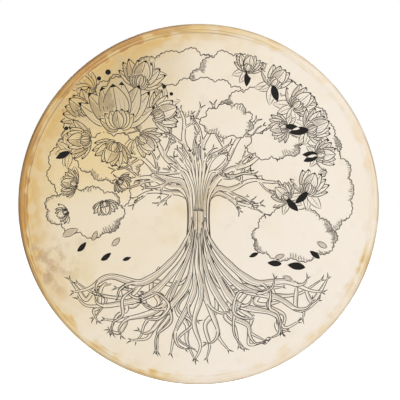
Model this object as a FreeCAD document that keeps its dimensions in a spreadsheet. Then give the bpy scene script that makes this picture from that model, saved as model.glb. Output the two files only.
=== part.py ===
import FreeCAD, Part
import math
import os

import Sketcher
from FreeCAD import Placement, Rotation, Vector

# A hand drum with a bent-wood hoop and a laced rawhide head. Millimetres.
# The drum stands upright: its axis is Y, the struck face looks towards -Y, +Z is up,
# and the origin is the centre of the drum.

doc = FreeCAD.newDocument("frame_drum")

driving_dimensions = {
    "drum_radius": 200.0,        # outside of the hide, round the side
    "drum_depth": 60.0,          # struck face to back rim
    "hide_thickness": 1.2,
    "fit_gap": 0.1,              # hide to wood
    "hoop_wall": 9.2,
    "front_rounding": 3.9,       # outer front edge of the wood
    "back_rounding": 2.4,        # outer back edge of the wood
    "inner_rounding": 2.0,       # both inner edges of the wood
    "scarf_place": 225.0,        # where the ends of the strip meet, degrees from +X towards +Z
    "rivet_shank": 1.4,          # radius
    "rivet_head": 3.4,           # radius
    "rivet_head_height": 1.1,
    "rivet_spacing": 16.0,       # across the width of the strip
    "flange_start": 190.3,       # radius where the folded hide leaves the back edge
    "flange_run": 9.4,           # radial length of its slope
    "flange_dip": 4.4,           # how far its level part lies inside the back rim
    "flange_bend": 4.0,          # inner radius of the bends of the folded hide
    "flange_edge": 168.0,        # radius of the cut edge of the hide
    "lace_circle": 175.0,        # radius of the circle of lace holes
    "lace_hole": 3.2,            # radius of a lace hole
    "lace_holes": 20.0,
    "lace_diameter": 3.0,
    "lace_pitch": 3.6,           # strand to strand inside an arm of the cross
    "lace_clearance": 0.25,      # lace to hide at a hole
    "fan_radius": 14.0,          # bend of a strand where it leaves the arm
    "fan_start": 11.0,           # from the binding to the bend of the middle strand
    "fan_step": 1.5,             # each strand further out bends this much sooner
    "ring_radius": 27.0,         # centre line of the steel ring
    "ring_wire": 2.75,           # radius of its wire
    "ring_plane": 20.0,          # Y of the ring
    "ring_turn": 4.5,            # bend of a strand round the ring
    "wrap_start": 33.5,
    "wrap_length": 34.5,
    "wrap_width": 24.4,
    "wrap_height": 17.6,
    "wrap_wall": 2.4,
    "wrap_rounding": 5.0,
    "wrap_inner_rounding": 2.0,
    "binding_gap": 0.4,
    "binding_length": 4.2,
    "binding_wall": 1.3,
    "knot_radius": 3.1,
    "knot_height": 4.4,
    "knot_shift": 1.8,           # a knot sits this far outside its strand
    "knot_gap": 0.7,             # the slanted end of the lace reaches this far
}

sheet = doc.addObject("Spreadsheet::Sheet", "dims")
for row, (alias, size) in enumerate(driving_dimensions.items(), 1):
    sheet.set(f"A{row}", alias)
    sheet.set(f"B{row}", str(size))
    sheet.setAlias(f"B{row}", alias)
doc.recompute()

arm_turns = {"top": 0.0, "right": 90.0, "bottom": 180.0, "left": 270.0}
loops_in_arm = 5
y_axis = Vector(0, 1, 0)
drum_to_y = Rotation(Vector(1, 0, 0), -90)      # turns a shape made round Z so that it lies round Y


def size_of(formula):
    """The number that a formula on the sheet gives now."""
    return float(sheet.evalExpression(formula))


def origin_plane(body, role):
    return [feature for feature in body.Origin.OriginFeatures if feature.Role == role][0]


def new_body(name):
    body = doc.addObject("PartDesign::Body", name)
    body.Label = name
    return body


def new_sketch(body, name, role, offset=None):
    sketch = body.newObject("Sketcher::SketchObject", name)
    sketch.AttachmentSupport = (origin_plane(body, role), [""])
    sketch.MapMode = "FlatFace"
    if offset is not None:
        sketch.AttachmentOffset = offset
    return sketch


def pin_point(sketch, line, across, up):
    """Hold the first point of a line at a place given by two formulas on the sheet."""
    for kind, axis_line, formula in (("DistanceX", -2, across), ("DistanceY", -1, up)):
        if formula == "0":
            sketch.addConstraint(Sketcher.Constraint("PointOnObject", line, 1, axis_line))
            continue
        index = sketch.addConstraint(Sketcher.Constraint(kind, -1, 1, line, 1, size_of(formula)))
        sketch.setExpression(f"Constraints[{index}]", formula)


def add_outline(sketch, corners):
    """A closed outline of straight lines; each corner is a pair of formulas."""
    places = [Vector(size_of(across), size_of(up), 0) for across, up in corners]
    first = sketch.GeometryCount
    count = len(corners)
    for index in range(count):
        sketch.addGeometry(Part.LineSegment(places[index], places[(index + 1) % count]), False)
    for index in range(count):
        following = first + (index + 1) % count
        sketch.addConstraint(Sketcher.Constraint("Coincident", first + index, 2, following, 1))
        pin_point(sketch, first + index, *corners[index])


def add_circle(sketch, across, up, radius):
    """A circle with its centre and radius given by formulas."""
    centre = Vector(size_of(across), size_of(up), 0)
    circle = sketch.addGeometry(Part.Circle(centre, Vector(0, 0, 1), size_of(radius)), False)
    for kind, axis_line, formula in (("DistanceX", -2, across), ("DistanceY", -1, up)):
        if formula == "0":
            sketch.addConstraint(Sketcher.Constraint("PointOnObject", circle, 3, axis_line))
            continue
        index = sketch.addConstraint(Sketcher.Constraint(kind, -1, 1, circle, 3, size_of(formula)))
        sketch.setExpression(f"Constraints[{index}]", formula)
    index = sketch.addConstraint(Sketcher.Constraint("Radius", circle, size_of(radius)))
    sketch.setExpression(f"Constraints[{index}]", radius)


def revolve(body, sketch):
    turned = body.newObject("PartDesign::Revolution", f"{body.Name}_turned")
    turned.Profile = sketch
    turned.ReferenceAxis = (sketch, ["V_Axis"])
    turned.Angle = 360
    doc.recompute()
    return turned


def round_edges(body, base, names, radius, label):
    rounding = body.newObject("PartDesign::Fillet", f"{body.Name}_{label}")
    rounding.Base = (base, names)
    rounding.setExpression("Radius", radius)
    doc.recompute()
    return rounding


def hoop_edges(shape, radius, height):
    """Names of the circular edges round Y at a radius and a Y."""
    names = []
    for number, edge in enumerate(shape.Edges, 1):
        if not isinstance(edge.Curve, Part.Circle):
            continue
        right_radius = abs(edge.Curve.Radius - radius) < 0.01
        right_height = abs(edge.Curve.Center.y - height) < 0.01
        if right_radius and right_height:
            names.append(f"Edge{number}")
    return names


def cut_checked(feature, before):
    """Stop if a cutting feature took nothing away."""
    doc.recompute()
    if feature.Shape.Volume > before - 1.0:
        raise RuntimeError(f"{feature.Name} cuts nothing")
    return feature


# ---------------------------------------------------------------- hoop

def make_hoop():
    """The ash strip, bent round; the glued slanted joint of its ends makes it one closed ring."""
    body = new_body("hoop")
    outer = "dims.drum_radius - dims.hide_thickness - dims.fit_gap"
    inner = f"{outer} - dims.hoop_wall"
    back = "dims.drum_depth / 2 - dims.hide_thickness - dims.fit_gap"
    front = f"-({back})"

    section = new_sketch(body, "hoop_section", "XY_Plane")
    add_outline(section, [(inner, front), (outer, front), (outer, back), (inner, back)])
    solid = revolve(body, section)

    edge_roundings = (
        (outer, front, "dims.front_rounding", "front_outside"),
        (outer, back, "dims.back_rounding", "back_outside"),
        (inner, front, "dims.inner_rounding", "front_inside"),
        (inner, back, "dims.inner_rounding", "back_inside"),
    )
    for radius, height, rounding, label in edge_roundings:
        names = hoop_edges(solid.Shape, size_of(radius), size_of(height))
        solid = round_edges(body, solid, names, rounding, label)

    turn = size_of("dims.scarf_place")
    bores = new_sketch(body, "rivet_bores", "YZ_Plane",
                       Placement(Vector(0, 0, 0), Rotation(Vector(1, 0, 0), -turn)))
    for across in ("-dims.rivet_spacing", "0", "dims.rivet_spacing"):
        add_circle(bores, across, "0", "dims.rivet_shank + dims.fit_gap / 2")
    before = solid.Shape.Volume
    drilled = body.newObject("PartDesign::Pocket", "rivet_holes")
    drilled.Profile = bores
    drilled.setExpression("Length", "dims.drum_radius")
    drilled.Reversed = True
    cut_checked(drilled, before)
    return body


def make_rivets():
    """Three copper rivets through the slanted joint, with their heads inside the hoop."""
    turn = Rotation(y_axis, -size_of("dims.scarf_place"))
    outward = turn.multVec(Vector(1, 0, 0))
    along_radius = turn.multiply(Rotation(y_axis, 90))
    inner = "dims.drum_radius - dims.hide_thickness - dims.fit_gap - dims.hoop_wall"
    rivets = []
    for number, place in enumerate((-1, 0, 1), 1):
        across = Vector(0, place * size_of("dims.rivet_spacing"), 0)

        shank = doc.addObject("Part::Cylinder", f"rivet_shank_{number}")
        shank.setExpression("Radius", "dims.rivet_shank")
        shank.setExpression("Height", "dims.hoop_wall + dims.fit_gap")
        start = size_of(f"{inner} - dims.fit_gap")
        shank.Placement = Placement(across + outward * start, along_radius)

        head = doc.addObject("Part::Cone", f"rivet_head_{number}")
        head.setExpression("Radius1", "dims.rivet_head * 0.6")
        head.setExpression("Radius2", "dims.rivet_head")
        head.setExpression("Height", "dims.rivet_head_height")
        start = size_of(f"{inner} - dims.fit_gap - dims.rivet_head_height")
        head.Placement = Placement(across + outward * start, along_radius)

        rivet = doc.addObject("Part::Fuse", f"rivet_{number}")
        rivet.Base = shank
        rivet.Tool = head
        rivets.append(rivet)

    group = doc.addObject("Part::Compound", "hoop_rivets")
    group.Label = "hoop_rivets"
    group.Links = rivets
    return group


# ---------------------------------------------------------------- head

def make_head():
    """The hide: struck face, side and the flange folded in over the back edge."""
    body = new_body("head")
    half = "dims.drum_depth / 2"
    skin = "dims.hide_thickness"
    level = f"{half} - dims.flange_dip"
    slope_end = "dims.flange_start - dims.flange_run"
    slope_length = "sqrt(dims.flange_run ^ 2 + dims.flange_dip ^ 2)"
    inner_shift = f"{skin} * ({slope_length} - dims.flange_run) / dims.flange_dip"

    outside = [
        ("0", f"-{half}"),
        ("dims.drum_radius", f"-{half}"),
        ("dims.drum_radius", half),
        ("dims.flange_start", half),
        (slope_end, level),
        ("dims.flange_edge", level),
    ]
    inside = [
        ("dims.flange_edge", f"{level} - {skin}"),
        (f"{slope_end} + {inner_shift}", f"{level} - {skin}"),
        (f"dims.flange_start + {inner_shift}", f"{half} - {skin}"),
        (f"dims.drum_radius - {skin}", f"{half} - {skin}"),
        (f"dims.drum_radius - {skin}", f"-{half} + {skin}"),
        ("0", f"-{half} + {skin}"),
    ]
    section = new_sketch(body, "hide_section", "XY_Plane")
    add_outline(section, outside + inside)
    solid = revolve(body, section)

    edge_roundings = (
        (outside[1], f"dims.front_rounding + dims.fit_gap + {skin}", "front_outside"),
        (inside[4], "dims.front_rounding + dims.fit_gap", "front_inside"),
        (outside[2], f"dims.back_rounding + dims.fit_gap + {skin}", "back_outside"),
        (inside[3], "dims.back_rounding + dims.fit_gap", "back_inside"),
        (outside[3], f"dims.flange_bend + {skin}", "fold_outside"),
        (inside[2], "dims.flange_bend", "fold_inside"),
        (outside[4], "dims.flange_bend", "level_outside"),
        (inside[1], f"dims.flange_bend + {skin}", "level_inside"),
    )
    for corner, rounding, label in edge_roundings:
        names = hoop_edges(solid.Shape, size_of(corner[0]), size_of(corner[1]))
        solid = round_edges(body, solid, names, rounding, label)

    hole = new_sketch(body, "lace_hole_outline", "XZ_Plane")
    add_circle(hole, "dims.lace_circle", "0", "dims.lace_hole")
    before = solid.Shape.Volume
    punched = body.newObject("PartDesign::Pocket", "lace_hole_cut")
    punched.Profile = hole
    punched.setExpression("Length", half)
    cut_checked(punched, before)

    around = body.newObject("PartDesign::PolarPattern", "lace_hole_circle")
    around.Originals = [punched]
    around.Axis = (origin_plane(body, "Y_Axis"), [""])
    around.Angle = 360
    around.setExpression("Occurrences", "dims.lace_holes")
    body.Tip = around
    cut_checked(around, punched.Shape.Volume)
    return body


# ---------------------------------------------------------------- ring and lacing

def make_ring():
    ring = doc.addObject("Part::Torus", "center_ring")
    ring.Label = "center_ring"
    ring.setExpression("Radius1", "dims.ring_radius")
    ring.setExpression("Radius2", "dims.ring_wire")
    ring.Placement = Placement(Vector(0, size_of("dims.ring_plane"), 0), drum_to_y)
    return ring


def rounded_path(points, radii):
    """Straight runs through the points, with a tangent arc of the given radius at each inner point."""
    edges = []
    start = points[0]
    for before, corner, after, radius in zip(points, points[1:], points[2:], radii):
        towards = (corner - before).normalize()
        away = (after - corner).normalize()
        turn = towards.getAngle(away)
        reach = radius * math.tan(turn / 2)
        arc_start = corner - towards * reach
        arc_end = corner + away * reach
        inward = (away - towards).normalize()
        to_centre = radius / math.cos(turn / 2)
        arc_middle = corner + inward * (to_centre - radius)
        if (arc_start - start).Length > 1e-4:
            edges.append(Part.LineSegment(start, arc_start).toShape())
        edges.append(Part.Arc(arc_start, arc_middle, arc_end).toShape())
        start = arc_end
    edges.append(Part.LineSegment(start, points[-1]).toShape())
    return Part.Wire(edges)


def lace_tail():
    """How far a tied end stands from the plane of the ring, and how far it has drifted sideways."""
    tail = size_of("dims.knot_height * 0.75")
    turn = size_of("dims.ring_turn")
    drift = size_of("dims.lace_pitch") * (turn + tail) / (2 * turn)
    return tail, drift


def inside_depth(across):
    """Distance from the drum's axis, along an arm, of a strand that passes inside the ring."""
    return math.sqrt(size_of("dims.ring_radius") ** 2 - across ** 2) - size_of("dims.ring_turn")


def lace_route():
    """Points and bend radii of the lace of the top arm.

    It is tied inside the ring, then five times in turn it runs out behind the ring, fans out
    to its hole, goes through, comes back in front of the ring and passes round the ring.
    """
    pitch = size_of("dims.lace_pitch")
    plane = size_of("dims.ring_plane")
    turn = size_of("dims.ring_turn")
    bundle_end = size_of("dims.wrap_start + dims.wrap_length + dims.binding_gap + dims.binding_length")
    lace = size_of("dims.lace_diameter")
    flange_middle = size_of("dims.drum_depth / 2 - dims.flange_dip - dims.hide_thickness / 2")
    hole_gap = size_of("dims.hide_thickness / 2 + dims.lace_diameter / 2 + dims.lace_clearance")
    hole_step = math.radians(360 / size_of("dims.lace_holes"))
    circle = size_of("dims.lace_circle")
    fan = size_of("dims.fan_radius")

    middle = loops_in_arm // 2
    offsets = [(index - middle) * pitch for index in range(loops_in_arm)]
    fan_start = size_of("dims.fan_start")
    fan_step = size_of("dims.fan_step")
    tail, drift = lace_tail()
    # the lace passes inside the ring once more than it has loops: both its ends lie there too
    reaches = [max(abs(left), abs(right)) for left, right in zip(offsets, offsets[1:])]
    reaches = [offsets[-1] + drift] + reaches + [offsets[-1] + drift]
    inside_ring = [inside_depth(reach) for reach in reaches]

    points = [Vector(offsets[0] - drift, plane - tail, inside_ring[0])]
    radii = []
    for index, offset in enumerate(offsets):
        angle = (index - middle) * hole_step
        hole = Vector(circle * math.sin(angle), 0, circle * math.cos(angle))
        # the outer strands bend first, so that neighbours keep their distance
        leave = bundle_end + fan_start - fan_step * abs(index - middle)
        points.append(Vector(offset, plane + turn, inside_ring[index]))
        points.append(Vector(offset, plane + turn, leave))
        points.append(hole + Vector(0, flange_middle + hole_gap, 0))
        points.append(hole + Vector(0, flange_middle - hole_gap, 0))
        points.append(Vector(offset, plane - turn, leave))
        radii += [turn, fan, hole_gap - 0.2, hole_gap - 0.2, fan, turn]
        points.append(Vector(offset, plane - turn, inside_ring[index + 1]))
    points.append(Vector(offsets[-1] + drift, plane + tail, inside_ring[-1]))
    return points, radii, lace


def make_lacing():
    points, radii, lace = lace_route()
    path = rounded_path(points, radii)
    start = path.OrderedEdges[0]
    tangent = start.tangentAt(start.FirstParameter)
    section = Part.Wire(Part.makeCircle(lace / 2, points[0], tangent))
    tube = path.makePipeShell([section], True, False)
    expected = path.Length * math.pi * lace ** 2 / 4
    print(f"lace of one arm: {path.Length:.0f} mm long, volume {tube.Volume:.0f}, expected {expected:.0f}")
    laces = []
    for arm, turn in arm_turns.items():
        lacing = doc.addObject("Part::Feature", f"lacing_{arm}")
        lacing.Label = f"lacing_{arm}"
        lacing.Shape = tube
        lacing.Placement = Placement(Vector(0, 0, 0), Rotation(y_axis, turn))
        laces.append(lacing)
    return laces


def make_knots():
    """The eight tied ends of the four laces, inside the ring."""
    plane = size_of("dims.ring_plane")
    height = size_of("dims.knot_height")
    tail, drift = lace_tail()
    end_of_lace = size_of("dims.lace_pitch") * (loops_in_arm // 2) + drift
    depth = inside_depth(end_of_lace)
    side = end_of_lace + size_of("dims.knot_shift")
    gap = tail + size_of("dims.knot_gap")
    knots = []
    for arm, turn in arm_turns.items():
        for across, bottom in ((-side, plane - gap - height), (side, plane + gap)):
            knot = doc.addObject("Part::Cylinder", f"knot_{arm}")
            knot.setExpression("Radius", "dims.knot_radius")
            knot.setExpression("Height", "dims.knot_height")
            place = Rotation(y_axis, turn).multVec(Vector(across, 0, depth))
            knot.Placement = Placement(place + Vector(0, bottom, 0), drum_to_y)
            knots.append(knot)
    group = doc.addObject("Part::Compound", "lace_knots")
    group.Label = "lace_knots"
    group.Links = knots
    return group


# ---------------------------------------------------------------- grip

def make_sleeve(name, turn, start, length, wall, rounding, end_rounding):
    """A closed sleeve round the strands of one arm."""
    body = new_body(name)
    bore_width = "(dims.wrap_width / 2 - dims.wrap_wall)"
    bore_height = "(dims.wrap_height / 2 - dims.wrap_wall)"
    plane = "dims.ring_plane"
    section = new_sketch(body, f"{name}_section", "XY_Plane", Placement(Vector(0, 0, 0), Rotation()))
    section.setExpression("AttachmentOffset.Base.z", start)
    for extra in (wall, "0 * dims.wrap_wall"):
        half_width = f"({bore_width} + {extra})"
        half_height = f"({bore_height} + {extra})"
        add_outline(section, [
            (f"-{half_width}", f"{plane} - {half_height}"),
            (half_width, f"{plane} - {half_height}"),
            (half_width, f"{plane} + {half_height}"),
            (f"-{half_width}", f"{plane} + {half_height}"),
        ])
    sleeve = body.newObject("PartDesign::Pad", f"{name}_wall")
    sleeve.Profile = section
    sleeve.setExpression("Length", length)
    doc.recompute()

    reach = size_of(f"{bore_width} + {wall}")
    corner_sets = {"outer": [], "bore": []}
    for number, edge in enumerate(sleeve.Shape.Edges, 1):
        first, last = [vertex.Point for vertex in edge.Vertexes]
        if abs(last.z - first.z) < 1:
            continue
        kind = "outer" if abs(abs(first.x) - reach) < 0.01 else "bore"
        corner_sets[kind].append(f"Edge{number}")
    base = round_edges(body, sleeve, corner_sets["bore"], "dims.wrap_inner_rounding", "bore_corners")
    corners = []
    for number, edge in enumerate(base.Shape.Edges, 1):
        ends = [vertex.Point for vertex in edge.Vertexes]
        if len(ends) == 2 and abs(ends[1].z - ends[0].z) > 1 and abs(abs(ends[0].x) - reach) < 0.01:
            corners.append(f"Edge{number}")
    base = round_edges(body, base, corners, rounding, "outer_corners")

    rims = []
    for number, edge in enumerate(base.Shape.Edges, 1):
        box = edge.BoundBox
        flat = box.ZLength < 0.01
        middle = edge.CenterOfMass
        beyond = max(abs(box.XMax), abs(box.XMin)) > size_of(bore_width) + 0.2
        beyond_high = abs(middle.y - size_of(plane)) > size_of(bore_height) + 0.2
        if flat and (beyond or beyond_high):
            rims.append(f"Edge{number}")
    round_edges(body, base, rims, end_rounding, "rims")
    body.Placement = Placement(Vector(0, 0, 0), Rotation(y_axis, turn))
    return body


def make_grips():
    """Four leather wraps that make the cross a handle, and the thread bindings at their ends."""
    pieces = []
    for arm, turn in arm_turns.items():
        pieces.append(make_sleeve(f"grip_wrap_{arm}", turn, "dims.wrap_start", "dims.wrap_length",
                                  "dims.wrap_wall", "dims.wrap_rounding", "dims.wrap_wall * 0.5"))
        binding_start = "dims.wrap_start + dims.wrap_length + dims.binding_gap"
        pieces.append(make_sleeve(f"binding_{arm}", turn, binding_start, "dims.binding_length",
                                  "dims.binding_wall", "dims.wrap_rounding * 0.6", "dims.binding_wall * 0.4"))
    return pieces


sub_parts = [make_hoop(), make_rivets(), make_head(), make_ring()]
sub_parts += make_lacing()
sub_parts.append(make_knots())
sub_parts += make_grips()
doc.recompute()

for item in doc.Objects:
    if "Invalid" in item.State or "Error" in item.State:
        raise RuntimeError(f"{item.Name} did not compute: {item.State}")
for sub_part in sub_parts:
    shape = sub_part.Shape
    if shape.isNull() or not shape.isValid():
        raise RuntimeError(f"{sub_part.Label} is not a valid shape")

os.makedirs("parts", exist_ok=True)
for sub_part in sub_parts:
    shape = sub_part.Shape
    shape.exportStep(f"parts/{sub_part.Label}.step")
    box = shape.BoundBox
    print(f"{sub_part.Label}: {len(shape.Solids)} solid(s), {shape.Volume:.0f} mm3, "
          f"Y {box.YMin:.1f} to {box.YMax:.1f}")
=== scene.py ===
import math
import random

import bpy
import numpy as np
from mathutils import Matrix, Vector


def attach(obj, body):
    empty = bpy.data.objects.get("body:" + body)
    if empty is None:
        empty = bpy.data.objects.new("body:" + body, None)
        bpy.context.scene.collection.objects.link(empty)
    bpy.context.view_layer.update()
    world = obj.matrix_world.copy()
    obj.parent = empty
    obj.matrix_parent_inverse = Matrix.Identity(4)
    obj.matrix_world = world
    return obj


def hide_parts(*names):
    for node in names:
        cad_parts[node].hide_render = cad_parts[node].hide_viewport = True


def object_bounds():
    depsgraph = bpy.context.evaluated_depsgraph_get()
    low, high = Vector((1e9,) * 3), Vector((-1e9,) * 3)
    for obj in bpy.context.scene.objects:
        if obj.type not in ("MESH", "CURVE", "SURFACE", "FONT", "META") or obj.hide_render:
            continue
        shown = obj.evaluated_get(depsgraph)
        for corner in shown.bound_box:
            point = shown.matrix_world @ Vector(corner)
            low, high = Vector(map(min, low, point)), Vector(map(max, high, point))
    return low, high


# A laced hand drum, upright: the struck face looks towards -Y, the lacing and the grip are on the +Y side.
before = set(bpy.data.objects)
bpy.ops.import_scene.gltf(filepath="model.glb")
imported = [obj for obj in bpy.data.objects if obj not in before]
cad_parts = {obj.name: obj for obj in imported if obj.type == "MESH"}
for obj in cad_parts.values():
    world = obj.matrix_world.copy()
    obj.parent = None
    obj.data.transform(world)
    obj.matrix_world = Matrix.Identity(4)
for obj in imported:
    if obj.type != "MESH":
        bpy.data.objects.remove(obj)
cadLow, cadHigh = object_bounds()
print("frame loaded")

mm = 0.001
drumRadius = cadHigh.x
faceY = cadLow.y
backY = cadHigh.y
fullTurn = 2 * math.pi
armTurns = {"Top": 0, "Right": 90, "Bottom": 180, "Left": 270}      # degrees about the drum's axis


def newest():
    # the object that an operator has just made
    return bpy.context.view_layer.objects.active


def activate(piece):
    bpy.ops.object.select_all(action="DESELECT")
    piece.select_set(True)
    bpy.context.view_layer.objects.active = piece


def useModifier(piece, kind, **settings):
    activate(piece)
    modifier = piece.modifiers.new(kind.title(), kind)
    for name, value in settings.items():
        setattr(modifier, name, value)
    bpy.ops.object.modifier_apply(modifier=modifier.name)


def editWhole(piece, operator, **settings):
    # one mesh operator on everything in the piece
    activate(piece)
    bpy.ops.object.mode_set(mode="EDIT")
    bpy.ops.mesh.select_all(action="SELECT")
    operator(**settings)
    bpy.ops.object.mode_set(mode="OBJECT")


def mergeDoubles(piece, distance=0.002 * mm):
    editWhole(piece, bpy.ops.mesh.remove_doubles, threshold=distance)


def faceOutwards(piece):
    editWhole(piece, bpy.ops.mesh.normals_make_consistent, inside=False)


def applyPlace(piece):
    activate(piece)
    bpy.ops.object.transform_apply(location=True, rotation=True, scale=True)


def joinPieces(pieces, name):
    activate(pieces[0])
    for piece in pieces:
        piece.select_set(True)
    bpy.ops.object.join()
    newest().name = name
    return newest()


def finishPiece(piece, material, slotName, *nodes, smoothAngle=40):
    activate(piece)
    bpy.ops.object.shade_smooth_by_angle(angle=math.radians(smoothAngle))
    piece.data.materials.clear()
    piece.data.materials.append(material)
    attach(piece, "root")
    if nodes:
        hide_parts(*nodes)


def roundProfile(width, thickness, corners=6):
    # a flattened round section for a curve; its width lies along X
    bpy.ops.curve.primitive_nurbs_circle_add(radius=1, location=(0, 0, 0))
    section = newest()
    section.data.resolution_u = max(1, corners // 4)
    section.scale = (width / 2, thickness / 2, 1)
    bpy.ops.object.transform_apply(location=False, rotation=False, scale=True)
    return section


def convertToMesh(name, data):
    piece = bpy.data.objects.new(name, data)
    bpy.context.scene.collection.objects.link(piece)
    activate(piece)
    bpy.ops.object.convert(target="MESH")
    piece = newest()
    mergeDoubles(piece)
    return piece


def curveToMesh(name, lines, section, twist="MINIMUM", resolution=4):
    # each line is a dictionary: points, and if wanted radii, tilts, closed, kind
    data = bpy.data.curves.new(name, "CURVE")
    data.dimensions = "3D"
    data.twist_mode = twist
    data.resolution_u = resolution
    data.bevel_mode = "OBJECT"
    data.bevel_object = section
    data.use_fill_caps = True
    for line in lines:
        closed = line.get("closed", False)
        spline = data.splines.new(line.get("kind", "NURBS"))
        spline.points.add(len(line["points"]) - 1)
        for index, point in enumerate(line["points"]):
            spline.points[index].co = (*point, 1)
            spline.points[index].radius = line["radii"][index] if "radii" in line else 1
            spline.points[index].tilt = line["tilts"][index] if "tilts" in line else 0
        spline.use_cyclic_u = closed
        if spline.type == "NURBS":
            spline.order_u = 3
            spline.use_endpoint_u = not closed
    return convertToMesh(name, data)


def turnAboutDrum(piece, degrees):
    piece.data.transform(Matrix.Rotation(math.radians(degrees), 4, "Y"))


def isSocket(value):
    return isinstance(value, bpy.types.NodeSocket)


def setInputs(node, inputs):
    # a socket is linked, any other value is set
    for key, value in inputs.items():
        if isSocket(value):
            node.id_data.links.new(value, node.inputs[key])
        else:
            node.inputs[key].default_value = value


def addNode(kind, inputs, tree=None, **settings):
    # goes into the tree of the first socket among its inputs, or into the one given
    tree = tree or next(value.id_data for value in inputs.values() if isSocket(value))
    node = tree.nodes.new(kind)
    for name, value in settings.items():
        setattr(node, name, value)
    setInputs(node, inputs)
    return node


def maths(operation, *values):
    return addNode("ShaderNodeMath", dict(enumerate(values)), operation=operation).outputs[0]


def plus(first, second):
    return maths("ADD", first, second)


def minus(first, second):
    return maths("SUBTRACT", first, second)


def times(first, *others):
    for other in others:
        first = maths("MULTIPLY", first, other)
    return first


def vectorMaths(operation, inputs, output="Vector"):
    return addNode("ShaderNodeVectorMath", inputs, operation=operation).outputs[output]


def ramp(value, low, high, fromValue=0.0, toValue=1.0):
    return addNode("ShaderNodeMapRange", {0: value, 1: low, 2: high, 3: fromValue, 4: toValue},
                   interpolation_type="SMOOTHSTEP").outputs[0]


def bell(value, centre, halfWidth):
    # 1 at the centre, 0 beyond the half width
    away = maths("ABSOLUTE", minus(value, centre))
    return ramp(away, 0.0, halfWidth, 1.0, 0.0)


def mixColours(share, first, second, blend="MIX"):
    return addNode("ShaderNodeMix", {0: share, 6: first, 7: second}, data_type="RGBA",
                   blend_type=blend).outputs[2]


def noiseValue(vector, scale, detail, roughness):
    return addNode("ShaderNodeTexNoise", {"Vector": vector, "Scale": scale, "Detail": detail,
                                                "Roughness": roughness}).outputs["Fac"]


def rgb(red, green, blue):
    # screen colour, 0 to 255, as linear light
    def linear(value):
        value = value / 255
        return value / 12.92 if value <= 0.04045 else ((value + 0.055) / 1.055) ** 2.4
    return (linear(red), linear(green), linear(blue), 1)


def newGroup(name, inputs, outputs):
    # inputs by name with their values, a vector where the value is None; outputs by name with their kinds
    group = bpy.data.node_groups.new(name, "ShaderNodeTree")
    for socketName, value in inputs.items():
        kind = "NodeSocketVector" if value is None else "NodeSocketFloat"
        socket = group.interface.new_socket(name=socketName, in_out="INPUT", socket_type=kind)
        if value is not None:
            socket.default_value = value
    for socketName, kind in outputs.items():
        group.interface.new_socket(name=socketName, in_out="OUTPUT", socket_type="NodeSocket" + kind)
    start = group.nodes.new("NodeGroupInput").outputs
    end = group.nodes.new("NodeGroupOutput")
    return group, start, end


def useGroup(group, inputs):
    return addNode("ShaderNodeGroup", inputs, node_tree=group).outputs


def newMaterial(name):
    material = bpy.data.materials.new(name)
    material.use_nodes = True
    tree = material.node_tree
    place = addNode("ShaderNodeTexCoord", {}, tree).outputs["Object"]
    return material, tree.nodes["Principled BSDF"], place


def dressShader(shader, colour, roughness, height, strength, distance):
    bump = addNode("ShaderNodeBump", {"Strength": strength, "Distance": distance, "Height": height})
    setInputs(shader, {"Base Color": colour, "Roughness": roughness, "Normal": bump.outputs[0]})


# groups that several materials share

def makeDrumPlace():
    # where a point is on the drum: distance from its axis, distance along the hide from the middle
    # of the face, and a vector that runs round the drum with no seam
    tree, start, end = newGroup("drumPlace", {"Position": None},
                                {"Radius": "Float", "Along": "Float", "Round": "Vector",
                                 "X": "Float", "Y": "Float", "Z": "Float"})
    split = addNode("ShaderNodeSeparateXYZ", {0: start["Position"]}).outputs
    flat = addNode("ShaderNodeCombineXYZ", {0: split["X"], 2: split["Z"]}).outputs[0]
    radius = vectorMaths("LENGTH", {0: flat}, "Value")
    setInputs(end, {"Radius": radius, "Along": plus(radius, minus(split["Y"], faceY)),
                          "Round": vectorMaths("NORMALIZE", {0: flat}),
                          "X": split["X"], "Y": split["Y"], "Z": split["Z"]})
    return tree


def makeStreaks():
    # long soft streaks that run round the drum
    tree, start, end = newGroup("streaks", {"Round": None, "Across": 0.0, "Length": 3.0, "Fineness": 400.0,
                                            "Detail": 4.0}, {"Mask": "Float"})
    long = vectorMaths("SCALE", {0: start["Round"], 3: start["Length"]})
    high = vectorMaths("SCALE", {0: (0, 1, 0), 3: times(start["Across"], start["Fineness"])})
    where = vectorMaths("ADD", {0: long, 1: high})
    setInputs(end, {"Mask": noiseValue(where, 1.0, start["Detail"], 0.6)})
    return tree


def makeSpeckle():
    # soft blotches and small flecks
    tree, start, end = newGroup("speckle", {"Position": None, "Scale": 200.0, "Low": 0.55, "High": 0.75},
                                {"Mask": "Float", "Height": "Float"})
    value = noiseValue(start["Position"], start["Scale"], 4.0, 0.62)
    setInputs(end, {"Mask": ramp(value, start["Low"], start["High"]), "Height": value})
    return tree


drumPlace = makeDrumPlace()
streaks = makeStreaks()
speckle = makeSpeckle()


def streaked(spot, across, length, fineness, detail=4.0):
    return useGroup(streaks, {"Round": spot["Round"], "Across": across, "Length": length,
                                    "Fineness": fineness, "Detail": detail})["Mask"]


def speckled(place, scale, low, high):
    return useGroup(speckle, {"Position": place, "Scale": scale, "Low": low, "High": high})


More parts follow.
